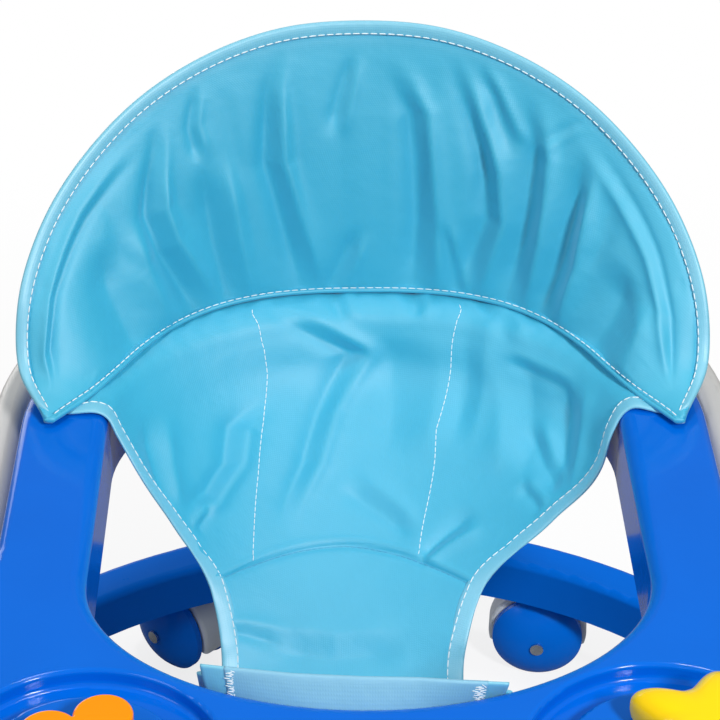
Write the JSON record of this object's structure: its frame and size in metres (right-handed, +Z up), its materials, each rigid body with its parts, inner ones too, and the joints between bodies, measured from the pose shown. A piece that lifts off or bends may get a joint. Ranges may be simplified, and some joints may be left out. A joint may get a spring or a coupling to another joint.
{
  "type": "baby walker",
  "caption": "Round-based baby walker with swivel casters, folding scissor legs, a toy tray with a fabric sling seat and padded backrest, and a rear push bar.",
  "frame": {"origin": "on the floor under the centre of the round base", "axes": "+Z up, -Y towards the tray, +X to the right when seen from the tray side"},
  "size_m": [0.6899, 0.69, 0.529],
  "materials": {
    "base_blue": "gloss",
    "tray_blue": "gloss",
    "wheel_blue": "gloss",
    "hood_grey": "satin",
    "grey_plastic": "satin",
    "bar_grey": "satin",
    "rubber": "matte",
    "steel": "brushed",
    "flower_orange": "gloss",
    "star_yellow": "gloss",
    "seat_fabric": "satin weave",
    "board_fabric": "satin weave"
  },
  "bodies": {
    "base": {"base_ring": "base_blue", "stop_pads": "rubber", "base_track_left": "grey_plastic", "base_track_right": "grey_plastic", "base_track_screws": "steel", "base_pivot_caps": "grey_plastic"},
    "outer_legs": {"leg_outer_left": "grey_plastic", "leg_outer_right": "grey_plastic", "leg_pivot_caps": "grey_plastic"},
    "inner_legs": {"leg_inner_left": "grey_plastic", "leg_inner_right": "grey_plastic"},
    "tray": {"tray_shell": "tray_blue", "tray_track_left": "grey_plastic", "tray_track_right": "grey_plastic", "tray_track_screws": "steel", "tray_pivot_caps": "grey_plastic", "push_bar": "bar_grey", "push_bar_plugs": "bar_grey", "push_bar_bolts": "steel", "toy_spindles": "steel", "backrest_cushion": "seat_fabric", "backrest_board": "board_fabric", "seat_bucket": "seat_fabric", "seat_hem": "seat_fabric", "seat_strip": "seat_fabric"},
    "flower": {"flower_spinner": "flower_orange"},
    "star": {"star_spinner": "star_yellow"},
    "caster_1": {"caster_hood_1": "hood_grey", "caster_axle_1": "steel"},
    "wheels_1": {"caster_wheels_1": "wheel_blue"},
    "caster_2": {"caster_hood_2": "hood_grey", "caster_axle_2": "steel"},
    "wheels_2": {"caster_wheels_2": "wheel_blue"},
    "caster_3": {"caster_hood_3": "hood_grey", "caster_axle_3": "steel"},
    "wheels_3": {"caster_wheels_3": "wheel_blue"},
    "caster_4": {"caster_hood_4": "hood_grey", "caster_axle_4": "steel"},
    "wheels_4": {"caster_wheels_4": "wheel_blue"},
    "caster_5": {"caster_hood_5": "hood_grey", "caster_axle_5": "steel"},
    "wheels_5": {"caster_wheels_5": "wheel_blue"},
    "caster_6": {"caster_hood_6": "hood_grey", "caster_axle_6": "steel"},
    "wheels_6": {"caster_wheels_6": "wheel_blue"},
    "caster_7": {"caster_hood_7": "hood_grey", "caster_axle_7": "steel"},
    "wheels_7": {"caster_wheels_7": "wheel_blue"},
    "caster_8": {"caster_hood_8": "hood_grey", "caster_axle_8": "steel"},
    "wheels_8": {"caster_wheels_8": "wheel_blue"}
  },
  "joints": [
    {"name": "legs_fold", "type": "hinge", "parent": "base", "child": "outer_legs", "pos_m": [0, 0.116, 0.092], "axis": [1, 0, 0], "range_deg": [0, 31.5]},
    {"name": "legs_cross", "type": "hinge", "parent": "outer_legs", "child": "inner_legs", "pos_m": [0, -0.009, 0.211], "axis": [1, 0, 0], "range_deg": [-63, 0]},
    {"name": "tray_level", "type": "hinge", "parent": "inner_legs", "child": "tray", "pos_m": [0, 0.116, 0.33], "axis": [1, 0, 0], "range_deg": [0, 31.5]},
    {"name": "flower_spin", "type": "hinge", "parent": "tray", "child": "flower", "pos_m": [-0.129, -0.206, 0.365], "axis": [0, 0, 1], "continuous": true},
    {"name": "star_spin", "type": "hinge", "parent": "tray", "child": "star", "pos_m": [0.152, -0.197, 0.369], "axis": [0, 0, 1], "continuous": true},
    {"name": "swivel_1", "type": "hinge", "parent": "base", "child": "caster_1", "pos_m": [0.11539, 0.30061, 0.08], "axis": [0, 0, 1], "continuous": true},
    {"name": "roll_1", "type": "hinge", "parent": "caster_1", "child": "wheels_1", "pos_m": [0.12733, 0.29936, 0.0315], "axis": [0.1045, 0.9945, 0], "continuous": true},
    {"name": "swivel_2", "type": "hinge", "parent": "base", "child": "caster_2", "pos_m": [0.2964, 0.12582, 0.08], "axis": [0, 0, 1], "continuous": true},
    {"name": "roll_2", "type": "hinge", "parent": "caster_2", "child": "wheels_2", "pos_m": [0.28553, 0.12074, 0.0315], "axis": [0.4226, -0.9063, 0], "continuous": true},
    {"name": "swivel_3", "type": "hinge", "parent": "base", "child": "caster_3", "pos_m": [0.2964, -0.12582, 0.08], "axis": [0, 0, 1], "continuous": true},
    {"name": "roll_3", "type": "hinge", "parent": "caster_3", "child": "wheels_3", "pos_m": [0.2923, -0.13709, 0.0315], "axis": [0.9397, -0.342, 0], "continuous": true},
    {"name": "swivel_4", "type": "hinge", "parent": "base", "child": "caster_4", "pos_m": [0.11539, -0.30061, 0.08], "axis": [0, 0, 1], "continuous": true},
    {"name": "roll_4", "type": "hinge", "parent": "caster_4", "child": "wheels_4", "pos_m": [0.12667, -0.29651, 0.0315], "axis": [-0.342, 0.9397, 0], "continuous": true},
    {"name": "swivel_5", "type": "hinge", "parent": "base", "child": "caster_5", "pos_m": [-0.11539, -0.30061, 0.08], "axis": [0, 0, 1], "continuous": true},
    {"name": "roll_5", "type": "hinge", "parent": "caster_5", "child": "wheels_5", "pos_m": [-0.12739, -0.30061, 0.0315], "axis": [0, -1, 0], "continuous": true},
    {"name": "swivel_6", "type": "hinge", "parent": "base", "child": "caster_6", "pos_m": [-0.2964, -0.12582, 0.08], "axis": [0, 0, 1], "continuous": true},
    {"name": "roll_6", "type": "hinge", "parent": "caster_6", "child": "wheels_6", "pos_m": [-0.28553, -0.13089, 0.0315], "axis": [0.4226, 0.9063, 0], "continuous": true},
    {"name": "swivel_7", "type": "hinge", "parent": "base", "child": "caster_7", "pos_m": [-0.2964, 0.12582, 0.08], "axis": [0, 0, 1], "continuous": true},
    {"name": "roll_7", "type": "hinge", "parent": "caster_7", "child": "wheels_7", "pos_m": [-0.3024, 0.13621, 0.0315], "axis": [-0.866, -0.5, 0], "continuous": true},
    {"name": "swivel_8", "type": "hinge", "parent": "base", "child": "caster_8", "pos_m": [-0.11539, 0.30061, 0.08], "axis": [0, 0, 1], "continuous": true},
    {"name": "roll_8", "type": "hinge", "parent": "caster_8", "child": "wheels_8", "pos_m": [-0.12388, 0.3091, 0.0315], "axis": [-0.7071, -0.7071, 0], "continuous": true}
  ],
  "couplings": [
    {"joint": "legs_cross", "follows": "legs_fold", "ratio": -2},
    {"joint": "tray_level", "follows": "legs_fold", "ratio": 1}
  ]
}
